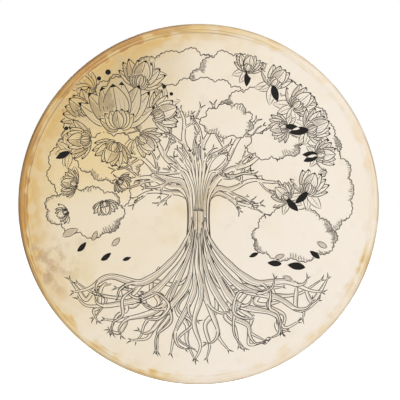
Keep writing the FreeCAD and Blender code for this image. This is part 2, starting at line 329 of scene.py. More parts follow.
hideLook = {
    "ivory": rgb(244, 233, 218),
    "cream": rgb(238, 223, 196),
    "yellow": rgb(230, 208, 160),
    "tan": rgb(193, 170, 126),
    "gold": rgb(234, 204, 140),
    "honey": rgb(218, 181, 112),
    "amber": rgb(203, 154, 82),
    "orange": rgb(222, 156, 78),
    "burnt": rgb(150, 108, 62),
    "grey": rgb(212, 203, 192),
    "olive": rgb(164, 142, 98),
    "smudge": rgb(178, 142, 102),
    "rimShadowDark": rgb(122, 100, 76),
    "crease": rgb(150, 122, 98),
    "glowStart": 0.76 * drumRadius,       # the warm tone towards the rim on the left
    "bandStart": 0.926 * drumRadius,      # where the hide begins to lie on the edge of the hoop
    "bandFull": 0.972 * drumRadius,
    "raggedBy": 24 * mm,                  # how far the inner edge of the amber runs in and out
    "creases": ((0.949 * drumRadius, 0.9 * mm, 1.0), (0.949 * drumRadius + 3.1 * mm, 0.7 * mm, 0.7)),
    # places on the face, across and up, in drum radii
    "tannedAt": (-0.60, 0.72),
    "goldenAt": (-0.56, 0.30),
    "smudgedAt": (-0.84, -0.34),
    # across, up and reach of a spot on the rim, then the least warmth it has, or its share of what is there
    "warmSpots": [(0.92, -0.36, 0.32, 0.48), (-0.40, -0.90, 0.50, 0.64)],
    "rimSpots": [(0.17, 0.96, 0.34, 0.40), (-0.50, 0.84, 0.32, 1.55), (-0.76, -0.62, 0.26, 0.66)],
    "inkThinned": rgb(216, 212, 209),
}


def makeHideTone():
    # the colours of the whole hide; the grey wash of the drawing is a darker version of them
    look = hideLook
    tree, start, end = newGroup("hideTone", {"Position": None}, {"Colour": "Color", "Stretch": "Float"})
    place = start["Position"]
    spot = useGroup(drumPlace, {"Position": place})
    radius, along = spot["Radius"], spot["Along"]
    across = maths("DIVIDE", spot["X"], drumRadius)
    upward = maths("DIVIDE", spot["Z"], drumRadius)
    drift = minus(noiseValue(place, 9.0, 4.0, 0.6), 0.5)

    def towards(right, up, drifting=0.0):
        # grows towards one side of the drum, with a soft uneven front
        value = plus(times(across, right), times(upward, up))
        return plus(value, times(drift, drifting)) if drifting else value

    def awayFrom(spotX, spotZ, drifting=0.0):
        # distance on the face from a place, in drum radii
        leanX, leanZ = minus(across, spotX), minus(upward, spotZ)
        value = maths("SQRT", plus(times(leanX, leanX), times(leanZ, leanZ)))
        return plus(value, times(drift, drifting)) if drifting else value

    def tint(share, name):
        nonlocal colour
        colour = mixColours(share, colour, look[name])

    # the left of the skin is warmer than the right
    side = towards(-0.85, 0.30, 1.2)
    colour = mixColours(ramp(side, -0.45, 0.55), look["ivory"], look["cream"])
    tint(ramp(side, 0.30, 1.15, 0.0, 0.8), "yellow")

    # a tanned patch at the upper left, a golden cloud at the left, yellow clouding and faint grey marks
    tint(ramp(awayFrom(*look["tannedAt"], 0.5), 0.08, 0.58, 0.9, 0.0), "tan")
    tint(ramp(awayFrom(*look["goldenAt"], 0.9), 0.02, 0.34, 0.65, 0.0), "gold")
    clouding = speckled(place, 15.0, 0.48, 0.70)["Mask"]
    tint(times(clouding, ramp(side, -0.3, 0.6, 0.14, 0.8)), "yellow")
    tint(times(speckled(place, 60.0, 0.55, 0.80)["Mask"], 0.32), "grey")

    # how warm the rim is: most at the left, least at the right, and less on the side of the drum
    warmSide = towards(-0.80, 0.44, 0.8)
    warmth = ramp(warmSide, -0.18, 0.70, 0.22, 1.0)
    for spotX, spotZ, size, least in look["warmSpots"]:
        warmth = maths("MAXIMUM", warmth, ramp(awayFrom(spotX, spotZ), 0.05, size, least, 0.0))
    for spotX, spotZ, size, share in look["rimSpots"]:
        warmth = times(warmth, ramp(awayFrom(spotX, spotZ), 0.08, size, share, 1.0))
    nearFront = ramp(along, drumRadius + 6 * mm, drumRadius + 22 * mm, 1.0, 0.0)
    warmth = times(warmth, plus(times(nearFront, 0.6), 0.4))

    # a glow towards the rim, in soft patches
    patches = streaked(spot, along, 11.0, 80.0, 1.2)
    glow = times(ramp(along, look["glowStart"], look["bandFull"]),
                 ramp(warmSide, 0.02, 0.66, 0.0, 0.92), ramp(patches, 0.36, 0.60, 0.55, 1.15))
    tint(maths("MINIMUM", glow, 1.0), "honey")

    # brown smudges inside the band, at the lower left
    smudges = speckled(place, 75.0, 0.44, 0.66)["Mask"]
    tint(times(smudges, ramp(awayFrom(*look["smudgedAt"]), 0.03, 0.26, 0.6, 0.0)), "smudge")

    # the band over the edge of the hoop, with stretch lines that run round the drum
    lines = streaked(spot, along, 2.0, 560.0)
    lines = plus(times(lines, nearFront), minus(0.5, times(nearFront, 0.5)))
    finer = times(streaked(spot, along, 4.0, 1300.0), nearFront)
    ragged = times(minus(patches, 0.5), look["raggedBy"])
    onEdge = ramp(plus(along, ragged), look["bandStart"], look["bandFull"])
    stretched = times(onEdge, warmth)
    patchy = ramp(noiseValue(spot["Round"], 2.6, 3.0, 0.6), 0.36, 0.62, 0.60, 1.25)
    strength = times(stretched, patchy, ramp(lines, 0.34, 0.58, 0.50, 1.0),
                     ramp(patches, 0.34, 0.62, 0.72, 1.12))
    tint(ramp(strength, 0.0, 0.50, 0.0, 0.92), "gold")
    tint(ramp(strength, 0.26, 0.90), "amber")
    orange = ramp(streaked(spot, radius, 7.0, 130.0), 0.50, 0.66, 0.0, 0.6)
    tint(times(orange, maths("MINIMUM", strength, 1.0)), "orange")
    tint(times(ramp(finer, 0.46, 0.36, 0.0, 0.45), stretched, nearFront), "cream")
    tint(times(ramp(finer, 0.52, 0.66, 0.0, 0.75), stretched), "burnt")
    (firstAt, firstHalf, firstShare), (nextAt, nextHalf, nextShare) = look["creases"]
    creased = plus(times(bell(along, firstAt, firstHalf), firstShare),
                   times(bell(along, nextAt, nextHalf), nextShare))
    tint(times(creased, ramp(lines, 0.30, 0.55, 0.30, 0.9),
               ramp(towards(-0.60, 0.80), 0.10, 0.80, 0.06, 0.90)), "crease")

    # painted shade: the rounded shoulder is painted darker, most at the warm left, and its outermost edge gets a
    # painted shadow line, darker at the left
    shoulder = ramp(radius, 0.974 * drumRadius, 0.997 * drumRadius)
    tint(times(shoulder, warmth, ramp(lines, 0.35, 0.60, 0.45, 0.95), nearFront), "burnt")
    # painted shadow line along the outermost edge: olive at the right, a darker painted shadow at the left
    rim = ramp(radius, 0.986 * drumRadius, 0.998 * drumRadius)
    rimShadowColour = mixColours(ramp(warmSide, 0.1, 0.7, 0.0, 0.8), look["olive"], look["rimShadowDark"])
    colour = mixColours(times(rim, ramp(patches, 0.36, 0.62, 0.30, 0.75), nearFront),
                        colour, rimShadowColour)

    # on the side and behind, pulls run from front to back, and mottling shows where the hide is folded
    pulls = streaked(spot, along, 30.0, 9.0, 2.0)
    aside = ramp(along, drumRadius + 4 * mm, drumRadius + 16 * mm)
    tint(times(aside, ramp(pulls, 0.45, 0.75, 0.0, 0.34)), "honey")
    tint(times(aside, ramp(pulls, 0.50, 0.30, 0.0, 0.35)), "ivory")
    tint(times(aside, speckled(place, 26.0, 0.38, 0.66)["Mask"], 0.42), "gold")
    mottle = ramp(speckled(place, 32.0, 0.48, 0.68)["Mask"], 0.0, 1.0, 0.12, 0.50)
    tint(times(ramp(spot["Y"], 0.3 * backY, 0.95 * backY), mottle, aside), "amber")
    setInputs(end, {"Colour": colour,
                          "Stretch": plus(times(finer, onEdge), times(pulls, aside))})
    return tree


hideTone = makeHideTone()


def makeHide():
    material, shader, place = newMaterial("rawhide")
    tone = useGroup(hideTone, {"Position": place})
    fibre = speckled(place, 900.0, 0.4, 0.6)["Height"]
    cells = speckled(place, 240.0, 0.35, 0.7)["Height"]
    height = plus(plus(times(fibre, 0.35), cells), times(tone["Stretch"], 1.5))
    dressShader(shader, tone["Colour"], ramp(cells, 0.3, 0.7, 0.46, 0.62), height, 0.35, 0.25 * mm)
    shader.inputs["Specular IOR Level"].default_value = 0.35
    return material


def makeWash():
    # thinned ink: the hide shows through it
    material, shader, place = newMaterial("inkWash")
    tone = useGroup(hideTone, {"Position": place})
    pooled = speckled(place, 120.0, 0.35, 0.75)["Height"]
    depth = ramp(pooled, 0.3, 0.7, 0.72, 1.0)
    colour = mixColours(depth, tone["Colour"], hideLook["inkThinned"], "MULTIPLY")
    dressShader(shader, colour, ramp(pooled, 0.3, 0.7, 0.50, 0.66), pooled, 0.1, 0.1 * mm)
    shader.inputs["Specular IOR Level"].default_value = 0.3
    return material


laceLook = {"pale": rgb(226, 205, 164), "dark": rgb(190, 153, 98), "fleck": rgb(142, 104, 60)}


def makeLace():
    look = laceLook
    material, shader, place = newMaterial("rawhideLace")
    blotch = speckled(place, 70.0, 0.35, 0.70)["Mask"]
    fleck = speckled(place, 600.0, 0.45, 0.70)
    colour = mixColours(blotch, look["pale"], look["dark"])
    colour = mixColours(times(fleck["Mask"], 0.35), colour, look["fleck"])
    dressShader(shader, colour, ramp(fleck["Height"], 0.3, 0.7, 0.34, 0.55), fleck["Height"],
                0.5, 0.3 * mm)
    return material


ashLook = {
    "pale": rgb(214, 181, 132),
    "brown": rgb(186, 144, 92),
    "ring": rgb(150, 108, 64),
    "pore": rgb(128, 88, 50),
    "glue": rgb(84, 54, 30),
    "seamSlope": 1.6,                     # how far the joint runs round the hoop for its depth
    "seamHalf": 0.9 * mm,
}


def makeAsh():
    look = ashLook
    material, shader, place = newMaterial("ashWood")
    spot = useGroup(drumPlace, {"Position": place})
    coarse = streaked(spot, spot["Y"], 1.6, 210.0)
    fine = streaked(spot, spot["Y"], 16.0, 1700.0)
    rings = streaked(spot, spot["Radius"], 2.0, 900.0)
    colour = mixColours(ramp(coarse, 0.35, 0.65), look["pale"], look["brown"])
    colour = mixColours(ramp(rings, 0.52, 0.66, 0.0, 0.5), colour, look["ring"])
    colour = mixColours(ramp(fine, 0.56, 0.70, 0.0, 0.65), colour, look["pore"])
    # the slanted glue line of the joint, at the lower left
    half = math.sqrt(0.5)
    tangent = vectorMaths("DOT_PRODUCT", {0: spot["Round"], 1: (half, 0, -half)}, "Value")
    facing = vectorMaths("DOT_PRODUCT", {0: spot["Round"], 1: (-half, 0, -half)}, "Value")
    slant = minus(times(tangent, drumRadius), times(spot["Y"], look["seamSlope"]))
    seam = times(bell(slant, 0.0, look["seamHalf"]), ramp(facing, 0.5, 0.6))
    colour = mixColours(times(seam, 0.85), colour, look["glue"])
    dressShader(shader, colour, ramp(fine, 0.3, 0.7, 0.42, 0.62),
                minus(fine, times(seam, 2.0)), 0.4, 0.3 * mm)
    return material


metalLook = {
    "ringSteel": {"bright": rgb(176, 174, 170), "tarnish": rgb(118, 112, 104), "roughness": (0.28, 0.55),
                  "dents": 0.6},
    "copper": {"bright": rgb(201, 126, 88), "tarnish": rgb(128, 78, 54), "roughness": (0.30, 0.55),
               "dents": 2.5},
}


def makeMetal(name):
    look = metalLook[name]
    material, shader, place = newMaterial(name)
    tarnish = speckled(place, 160.0, 0.42, 0.68)
    scratch = speckled(place, 1600.0, 0.45, 0.65)
    worn = plus(times(tarnish["Mask"], 0.7), times(scratch["Mask"], 0.3))
    dressShader(shader, mixColours(tarnish["Mask"], look["bright"], look["tarnish"]),
                ramp(worn, 0.0, 1.0, *look["roughness"]),
                plus(times(tarnish["Height"], look["dents"]), scratch["Height"]), 0.35, 0.2 * mm)
    shader.inputs["Metallic"].default_value = 1.0
    return material


leatherLook = {"brown": rgb(104, 66, 40), "worn": rgb(140, 94, 58), "dark": rgb(72, 44, 27)}


def makeLeather():
    look = leatherLook
    material, shader, place = newMaterial("wrapLeather")
    worn = speckled(place, 55.0, 0.40, 0.72)["Mask"]
    pores = addNode("ShaderNodeTexVoronoi", {"Vector": place, "Scale": 1100.0}, feature="DISTANCE_TO_EDGE")
    grain = speckled(place, 520.0, 0.40, 0.65)
    colour = mixColours(worn, look["brown"], look["worn"])
    colour = mixColours(times(grain["Mask"], 0.45), colour, look["dark"])
    height = plus(ramp(pores.outputs["Distance"], 0.0, 0.22), times(grain["Height"], 0.6))
    dressShader(shader, colour, ramp(grain["Height"], 0.3, 0.7, 0.52, 0.80), height, 0.55, 0.25 * mm)
    shader.inputs["Sheen Weight"].default_value = 0.15
    return material


threadLook = {"brown": rgb(52, 36, 26), "fibre": rgb(86, 62, 44), "wax": rgb(120, 96, 70)}


def makeThread():
    look = threadLook
    material, shader, place = newMaterial("waxedThread")
    fibre = speckled(place, 1500.0, 0.40, 0.65)
    wax = speckled(place, 180.0, 0.50, 0.75)
    colour = mixColours(fibre["Mask"], look["brown"], look["fibre"])
    colour = mixColours(times(wax["Mask"], 0.3), colour, look["wax"])
    dressShader(shader, colour, ramp(wax["Height"], 0.3, 0.7, 0.38, 0.60), fibre["Height"],
                0.5, 0.15 * mm)
    return material


inkTones = {
    # fresh, faded, and how much of it is faded
    "inkLine": (rgb(58, 51, 45), rgb(108, 99, 88), 0.45),
    "inkFine": (rgb(104, 95, 85), rgb(150, 140, 126), 0.50),
    "inkBlack": (rgb(26, 23, 20), rgb(48, 43, 38), 0.35),
}


def makeInk(name):
    fresh, faded, fadeShare = inkTones[name]
    material, shader, place = newMaterial(name)
    flow = speckled(place, 140.0, 0.40, 0.75)["Mask"]
    tooth = speckled(place, 1400.0, 0.50, 0.75)
    fade = plus(times(flow, fadeShare), times(tooth["Mask"], fadeShare * 0.8))
    dressShader(shader, mixColours(maths("MINIMUM", fade, 1.0), fresh, faded),
                ramp(tooth["Height"], 0.3, 0.7, 0.55, 0.75), tooth["Height"], 0.2, 0.1 * mm)
    shader.inputs["Specular IOR Level"].default_value = 0.2
    return material


hide = makeHide()
lace = makeLace()
ash = makeAsh()
steel = makeMetal("ringSteel")
copper = makeMetal("copper")
leather = makeLeather()
thread = makeThread()
inkLine = makeInk("inkLine")
inkFine = makeInk("inkFine")
inkWash = makeWash()
inkBlack = makeInk("inkBlack")
print("materials made")


studioLook = {
    "lens": 100,
    "cameraDistance": 1.2275,             # from the face of the drum
    "cameraAcross": 0.0016,
    "cameraUp": 0.0047,
    "floorSize": 40,
    "floorDrop": 0.25,                    # below the lowest point of the drum
    "ambient": 0.35,
    "floorGlow": 0.9,
    # place, size and power of each light
    "lights": {"keyLight": ((1.5, -2.0, 1.1), 1.4, 33), "fillLight": ((-1.8, -1.6, 0.6), 1.6, 6),
               "backLight": ((-1.2, 2.2, 1.6), 1.4, 32), "floorLight": ((0, -0.2, 3.4), 3.0, 46)},
}


def makeStudio():
    look = studioLook
    bpy.ops.object.camera_add(location=(look["cameraAcross"], faceY - look["cameraDistance"], look["cameraUp"]),
                              rotation=(math.radians(90), 0, 0))
    camera = newest()
    camera.name = "camera"
    camera.data.lens = look["lens"]
    camera.data.sensor_width = 36
    camera.data.clip_end = 60
    bpy.context.scene.camera = camera

    bpy.ops.mesh.primitive_plane_add(size=look["floorSize"], location=(0, 0, cadLow.z - look["floorDrop"]))
    floor = newest()
    floor.name = "floor"
    material, shader, place = newMaterial("paleFloor")
    paper = speckled(place, 3.0, 0.3, 0.7)["Mask"]
    paper = mixColours(paper, (0.93, 0.93, 0.93, 1), (0.90, 0.90, 0.90, 1))
    glow = times(addNode("ShaderNodeLightPath", {}, material.node_tree).outputs["Is Camera Ray"], look["floorGlow"])
    setInputs(shader, {"Base Color": paper, "Roughness": 0.9, "Specular IOR Level": 0.1,
                             "Emission Color": (1, 1, 1, 1), "Emission Strength": glow})
    floor.data.materials.append(material)

    for name, (place, size, power) in look["lights"].items():
        bpy.ops.object.light_add(type="AREA", location=place)
        light = newest()
        light.name = name
        light.data.shape = "SQUARE"
        light.data.size = size
        light.data.energy = power
        light.rotation_euler = (-Vector(place)).to_track_quat("-Z", "Y").to_euler()

    world = bpy.data.worlds.new("studio")
    bpy.context.scene.world = world
    world.use_nodes = True
    tree = world.node_tree
    tree.nodes.clear()
    shown = addNode("ShaderNodeBackground", {"Color": (1, 1, 1, 1), "Strength": 1.0}, tree)
    cast = addNode("ShaderNodeBackground", {"Color": (1, 1, 1, 1), "Strength": look["ambient"]}, tree)
    isCamera = addNode("ShaderNodeLightPath", {}, tree).outputs["Is Camera Ray"]
    both = addNode("ShaderNodeMixShader", {0: isCamera, 1: cast.outputs[0], 2: shown.outputs[0]})
    addNode("ShaderNodeOutputWorld", {"Surface": both.outputs[0]})
    bpy.context.scene.view_settings.view_transform = "Standard"
    bpy.context.scene.view_settings.look = "None"


makeStudio()
print("studio made")


headShape = {
    "steps": 400,
    "holes": 20,
    "holeCircle": 175 * mm,
    "holeSize": (2.05 * mm, 1.9 * mm),    # half the size across, and along the pull of the lace
    "thickness": 1.2 * mm,
    "dish": 0.28,                         # the membrane lies this far inside the front of the rim
    "side": 200,                          # the profile's numbers are radii and depths in mm
    "faceRings": (70, 130, 165, 182, 187.5),
    "frontCurve": ((189.3, 0.22), (190.6, 0.07), (192.2, 0), (194.8, 0)),
    "shoulder": 5.2,
    "sideRows": (9, 13.5, 18, 22.5, 27, 31.5, 36, 40.5, 45, 49, 53, 56.3),
    "backShoulder": 3.7,
    "flange": ((194.4, 60), (192.6, 60), (191.5, 60), (190.6, 59.93), (189.4, 59.6), (188.2, 59.1), (187, 58.4),
               (185.5, 57.7), (184, 57), (182.8, 56.4), (181.8, 55.95), (181, 55.75), (180.2, 55.62)),
    "flangeEnd": 55.6,
    "edgeRings": (178.5, 176.7, 175, 173.3, 171.5, 170, 168.4),
    "foldedInside": 195.5,                # the hide is folded behind, inside this radius
    "ears": 3.4,                          # how far the cut edge runs in and out between the holes
    "earsInside": 178.5,
    "pleats": 1.15,                       # height of the gathers in the folded part
    "flutesFrom": 12,                     # the depth at which the flutes down the side begin
    "flutes": 0.55,                       # the deepest flute down the side
}


def headProfile():
    # radius and distance behind the front of the drum, in mm
    shape = headShape
    points = [(radius, shape["dish"]) for radius in shape["faceRings"]]
    points += shape["frontCurve"]
    bend, flat = shape["shoulder"], shape["frontCurve"][-1][0]
    for degrees in (15, 30, 45, 60, 75, 90):
        angle = math.radians(degrees)
        points.append((flat + bend * math.sin(angle), bend * (1 - math.cos(angle))))
    points += [(shape["side"], depth) for depth in shape["sideRows"]]
    bend, lastDepth = shape["backShoulder"], shape["sideRows"][-1]
    for degrees in (18, 36, 54, 72, 90):
        angle = math.radians(degrees)
        points.append((shape["side"] - bend + bend * math.cos(angle), lastDepth + bend * math.sin(angle)))
    points += shape["flange"]
    points += [(radius, shape["flangeEnd"]) for radius in shape["edgeRings"]]
    return points


def gatherHide(head):
    # pleats in the folded part between the laces, shallow flutes down the side, and ears on the cut edge
    shape = headShape
    random.seed(4)
    phases = [random.uniform(0, fullTurn) for _ in range(8)]
    for vertex in head.data.vertices:
        x, y, z = vertex.co
        radius = math.hypot(x, z) / mm
        angle = math.atan2(x, z)
        behind = (y - faceY) / mm
        between = 0.5 - 0.5 * math.cos(shape["holes"] * angle)      # 0 at a hole, 1 half way
        rough = (math.sin(7 * angle + phases[0]) + math.sin(13 * angle + phases[1]) * 0.7
                 + math.sin(47 * angle + phases[2]) * 0.35)
        gather = math.sin(60 * angle + 0.9 * math.sin(9 * angle + phases[4]) + phases[3])
        gather = math.copysign(abs(gather) ** 0.8, gather) + 0.35 * math.sin(83 * angle + phases[5])
        outwards = 0
        if radius < shape["foldedInside"] and behind > 50:
            inwards = min(1.0, (shape["foldedInside"] - radius) / 22)
            swell = (gather + 0.45) * shape["pleats"] * (0.22 + 0.78 * between)
            vertex.co.y += (swell * inwards - 0.15 * between) * mm
            nearEdge = max(0.0, min(1.0, (shape["earsInside"] - radius) / 10))
            outwards = (between * shape["ears"] + 0.35 * rough - 1.2 * (1 - between)) * nearEdge
        elif behind > shape["flutesFrom"]:
            growth = min(1.0, (behind - shape["flutesFrom"]) / 40)
            pull = (0.25 * between + 0.06 * rough + 0.20 * gather) * growth
            outwards = -min(shape["flutes"], max(0.0, pull))
        if outwards:
            vertex.co.x += x / radius * outwards
            vertex.co.z += z / radius * outwards


def makeHead():
    shape = headShape
    points = headProfile()
    radius, depth = points[0]
    bpy.ops.mesh.primitive_circle_add(vertices=shape["steps"], radius=radius * mm, fill_type="TRIFAN",
                                      location=(0, faceY + depth * mm, 0), rotation=(math.radians(90), 0, 0))
    head = newest()
    head.name = "rawhideHead"
    applyPlace(head)
    bpy.ops.object.mode_set(mode="EDIT")
    bpy.ops.mesh.select_mode(type="EDGE")
    bpy.ops.mesh.select_all(action="DESELECT")
    bpy.ops.mesh.select_non_manifold(extend=False)
    for nextRadius, nextDepth in points[1:]:
        bpy.ops.mesh.extrude_region_move(TRANSFORM_OT_translate={"value": (0, (nextDepth - depth) * mm, 0)})
        share = nextRadius / radius
        if abs(share - 1) > 1e-9:
            bpy.ops.transform.resize(value=(share, 1, share), center_override=(0, 0, 0))
        radius, depth = nextRadius, nextDepth
    bpy.ops.object.mode_set(mode="OBJECT")
    gatherHide(head)
    if head.data.polygons[0].normal.y > 0:
        faceOutwards(head)
    useModifier(head, "SOLIDIFY", thickness=shape["thickness"], offset=-1, use_even_offset=True)

    # the lace holes, a little long in the direction that the laces pull
    cutters = []
    for index in range(shape["holes"]):
        bpy.ops.mesh.primitive_cylinder_add(vertices=20, radius=1, depth=1, location=(0, 0, 0))
        cutter = newest()
        cutter.scale = (*shape["holeSize"], 12 * mm)
        cutter.rotation_euler = (math.radians(90), 0, 0)
        applyPlace(cutter)
        cutter.data.transform(Matrix.Translation((0, backY - 5 * mm, shape["holeCircle"] - 0.3 * mm)))
        turnAboutDrum(cutter, index * 360 / shape["holes"])
        cutters.append(cutter)
    allCutters = joinPieces(cutters, "cutters")
    useModifier(head, "BOOLEAN", object=allCutters, operation="DIFFERENCE", solver="EXACT")
    bpy.data.objects.remove(allCutters)
    finishPiece(head, hide, "rawhide", "head", smoothAngle=35)


makeHead()
print("head made")


laceShape = {
    "loops": 5,
    "pitch": 3.6 * mm,
    "plane": 20 * mm,                     # the middle of the bundles, behind the middle of the drum
    "turn": 4.5 * mm,                     # half the height of a turn round the ring
    "bundleEnd": 72.6 * mm,
    "fanStart": 11 * mm,
    "fanStep": 1.5 * mm,
    "ringRadius": 27 * mm,
    "flangeMiddle": 25 * mm,
    "holeGap": 2.35 * mm,
    "tail": 3.3 * mm,
    "drift": 3.12 * mm,                   # how far the ends lie beside the outer runs
    "width": 3.7 * mm,
    "thickness": 2.3 * mm,
}


def laceRoute():
    # the same stations as the laced model: ring, hole, back to the ring, five times
    shape = laceShape
    middle = shape["loops"] // 2
    offsets = [(index - middle) * shape["pitch"] for index in range(shape["loops"])]
    endReach = offsets[-1] + shape["drift"]
    reaches = [endReach] + [max(abs(a), abs(b)) for a, b in zip(offsets, offsets[1:])] + [endReach]
    inside = [math.sqrt(shape["ringRadius"] ** 2 - reach ** 2) - shape["turn"] for reach in reaches]
    back = shape["plane"] + shape["turn"]
    front = shape["plane"] - shape["turn"]
    above = shape["flangeMiddle"] + shape["holeGap"]
    below = shape["flangeMiddle"] - shape["holeGap"]

    def at(place, height):
        return place + Vector((0, height, 0))

    route = [Vector((offsets[0] - shape["drift"], shape["plane"] - shape["tail"], inside[0]))]
    for index, offset in enumerate(offsets):
        angle = (index - middle) * fullTurn / headShape["holes"]
        hole = Vector((math.sin(angle), 0, math.cos(angle))) * headShape["holeCircle"]
        leave = shape["bundleEnd"] + shape["fanStart"] - shape["fanStep"] * abs(index - middle)
        start = Vector((offset, 0, leave))
        run = (hole - start).normalized()
        route += [Vector((offset, back, inside[index])),
                  Vector((offset, back, inside[index] + 5 * mm)),
                  at(start - Vector((0, 0, 10 * mm)), back),
                  at(start + run * 3 * mm, back),
                  at(start + run * 40 * mm, back + 0.45 * (above - back)),
                  at(hole - run * 14 * mm, above - 0.25 * mm),
                  at(hole - run * 3.5 * mm, above + 0.35 * mm),
                  at(hole, above + 0.1 * mm),
                  at(hole, below - 0.1 * mm),
                  at(hole - run * 4 * mm, below - 0.5 * mm),
                  at(start + run * 40 * mm, front + 0.55 * (below - front)),
                  at(start + run * 3 * mm, front),
                  at(start - Vector((0, 0, 10 * mm)), front),
                  Vector((offset, front, inside[index + 1] + 5 * mm)),
                  Vector((offset, front, inside[index + 1]))]
    route.append(Vector((endReach, shape["plane"] + shape["tail"], inside[-1])))
    return route


def finishArmPiece(name, line, section, turn, material, slotName, node, smoothAngle, twist="MINIMUM", resolution=4,
                   ends=None):
    # one piece of one arm, made along the top arm and turned to its place
    piece = curveToMesh(name, [line], section, twist, resolution)
    bpy.data.objects.remove(section)
    if ends:
        for vertex in piece.data.vertices:
            vertex.co.z = min(ends[1], max(ends[0], vertex.co.z))
    turnAboutDrum(piece, turn)
    faceOutwards(piece)
    finishPiece(piece, material, slotName, node, smoothAngle=smoothAngle)


def makeLacing():
    shape = laceShape
    route = laceRoute()
    for number, (arm, turn) in enumerate(armTurns.items()):
        random.seed(20 + number)
        line = {"points": route, "radii": [random.uniform(0.93, 1.05) for _ in route],
                "tilts": [random.uniform(-0.25, 0.25) for _ in route]}
        section = roundProfile(shape["width"], shape["thickness"], 12)
        finishArmPiece(f"lacing{arm}", line, section, turn, lace, "rawhide_lace", f"lacing_{arm.lower()}", 60,
                       resolution=5)


makeLacing()
print("lacing made")


knotShape = {
    "scale": 0.60 * mm,
    "lift": 1.05 * mm,
    "thickness": 2.1 * mm,
    "side": 12.12 * mm,
    "depth": 20.45 * mm,
    "lower": 13.8 * mm,
    "upper": 26.2 * mm,
    "steps": 24,
}


def makeKnots():
    # a small tied knot at each end of each lace
    shape = knotShape
    knots = []
    section = roundProfile(shape["thickness"], shape["thickness"] * 0.9, 12)
    for number, (arm, turn) in enumerate(armTurns.items()):
        for across, height in ((-shape["side"], shape["lower"]), (shape["side"], shape["upper"])):
            points = []
            for step in range(shape["steps"]):
                t = step * fullTurn / shape["steps"]
                points.append(Vector(((math.sin(t) + 2 * math.sin(2 * t)) * shape["scale"],
                                      math.sin(3 * t) * shape["lift"],
                                      (math.cos(t) - 2 * math.cos(2 * t)) * shape["scale"])))
            knot = curveToMesh("knot", [{"points": points, "closed": True}], section, resolution=3)
            knot.data.transform(Matrix.Rotation(number * 0.9 + (0.5 if across > 0 else 0), 4, "Y"))
            knot.data.transform(Matrix.Translation((across, height, shape["depth"])))
            turnAboutDrum(knot, turn)
            knots.append(knot)
    bpy.data.objects.remove(section)
    piece = joinPieces(knots, "laceKnots")
    faceOutwards(piece)
    finishPiece(piece, lace, "rawhide_lace", "lace_knots", smoothAngle=60)


makeKnots()
print("knots made")


wrapShape = {
    "start": 33.7 * mm,
    "end": 67.8 * mm,
    "stripWidth": 7.4 * mm,
    "stripThickness": 1.25 * mm,
    "pitch": 4.5 * mm,
    "across": 11.3 * mm,
    "high": 7.9 * mm,
    "squareness": 3.2,
    "slack": 0.008,
    "lean": 15,
}
bindingShape = {
    "start": 68.9 * mm,
    "end": 72.0 * mm,
    "thread": 1.0 * mm,
    "pitch": 0.82 * mm,
    "across": 10.3 * mm,
    "high": 7.1 * mm,
    "squareness": 3.0,
    "slack": 0.01,
}


def windRound(shape, first, last, seed, steps=24):
    # a winding round a flat bundle, on a rounded rectangle
    random.seed(seed)
    points = []
    for step in range(int((last - first) / shape["pitch"] * steps) + 1):
        angle = step * fullTurn / steps
        c, s = math.cos(angle), math.sin(angle)
        x = math.copysign(abs(c) ** (2 / shape["squareness"]), c) * shape["across"]
        y = math.copysign(abs(s) ** (2 / shape["squareness"]), s) * shape["high"]
        wobble = 1 + random.uniform(-shape["slack"], shape["slack"])
        points.append(Vector((x * wobble, laceShape["plane"] + y * wobble, first + shape["pitch"] * step / steps)))
    return points


def makeWraps():
    shape = wrapShape
    inset = shape["stripWidth"] / 2 - 0.6 * mm
    for number, (arm, turn) in enumerate(armTurns.items()):
        points = windRound(shape, shape["start"] + inset, shape["end"] - inset, 40 + number)
        section = roundProfile(shape["stripThickness"], shape["stripWidth"], 16)
        line = {"points": points, "tilts": [math.radians(shape["lean"])] * len(points)}
        finishArmPiece(f"gripWrap{arm}", line, section, turn, leather, "wrap_leather", f"grip_wrap_{arm.lower()}", 50,
                       "Z_UP", 3, (shape["start"], shape["end"]))


def makeBindings():
    shape = bindingShape
    for number, (arm, turn) in enumerate(armTurns.items()):
        points = windRound(shape, shape["start"], shape["end"], 60 + number)
        section = roundProfile(shape["thread"], shape["thread"], 8)
        finishArmPiece(f"binding{arm}", {"points": points}, section, turn, thread, "waxed_thread",
                       f"binding_{arm.lower()}", 60, "Z_UP", 2)


makeWraps()
makeBindings()
print("wraps and bindings made")


# the pieces that keep their own shape get their materials
for name, material in {"hoop": ash, "hoop_rivets": copper, "center_ring": steel}.items():
    node = bpy.data.objects[name]
    node.data.materials.clear()
    node.data.materials.append(material)
print("hoop, rivets and ring dressed")


# the ink drawing of a tree, worked out in mm on the face, u to the right and v up

inkLook = {
    "lineWidth": 0.85,
    "spacing": 1.3,
    "heights": {"line": 0.060 * mm, "fine": 0.048 * mm, "shade": 0.026 * mm},
    "solidHeight": 0.052 * mm,
    "sunk": 0.02 * mm,                    # how deep the strokes sit in the hide
    "seed": 11,
}
strokes = []                              # each one: kind, points with widths, box
solids = []                               # filled black shapes
chance = random.Random(inkLook["seed"])


def direction(angle):
    return Vector((math.cos(angle), math.sin(angle)))


def sideways(way):
    return Vector((-way.y, way.x))


def keepInside(point, limit=172.0):
    # pull a point in towards the middle of the face
    return point if point.length < limit else point * (limit / point.length)


def smoothLine(points):
    # a smooth line through the points, as a list of evenly spaced points
    points = [Vector(point[:2]) for point in points]
    made = []
    for index in range(len(points) - 1):
        p1, p2 = points[index], points[index + 1]
        p0 = points[index - 1] if index else p1
        p3 = points[index + 2] if index + 2 < len(points) else p2
        steps = max(2, int((p2 - p1).length / inkLook["spacing"]))
        for step in range(steps):
            t = step / steps
            made.append(0.5 * (2 * p1 + (p2 - p0) * t + (2 * p0 - 5 * p1 + 4 * p2 - p3) * t * t
                               + (3 * p1 - p0 - 3 * p2 + p3) * t ** 3))
    made.append(points[-1])
    return made


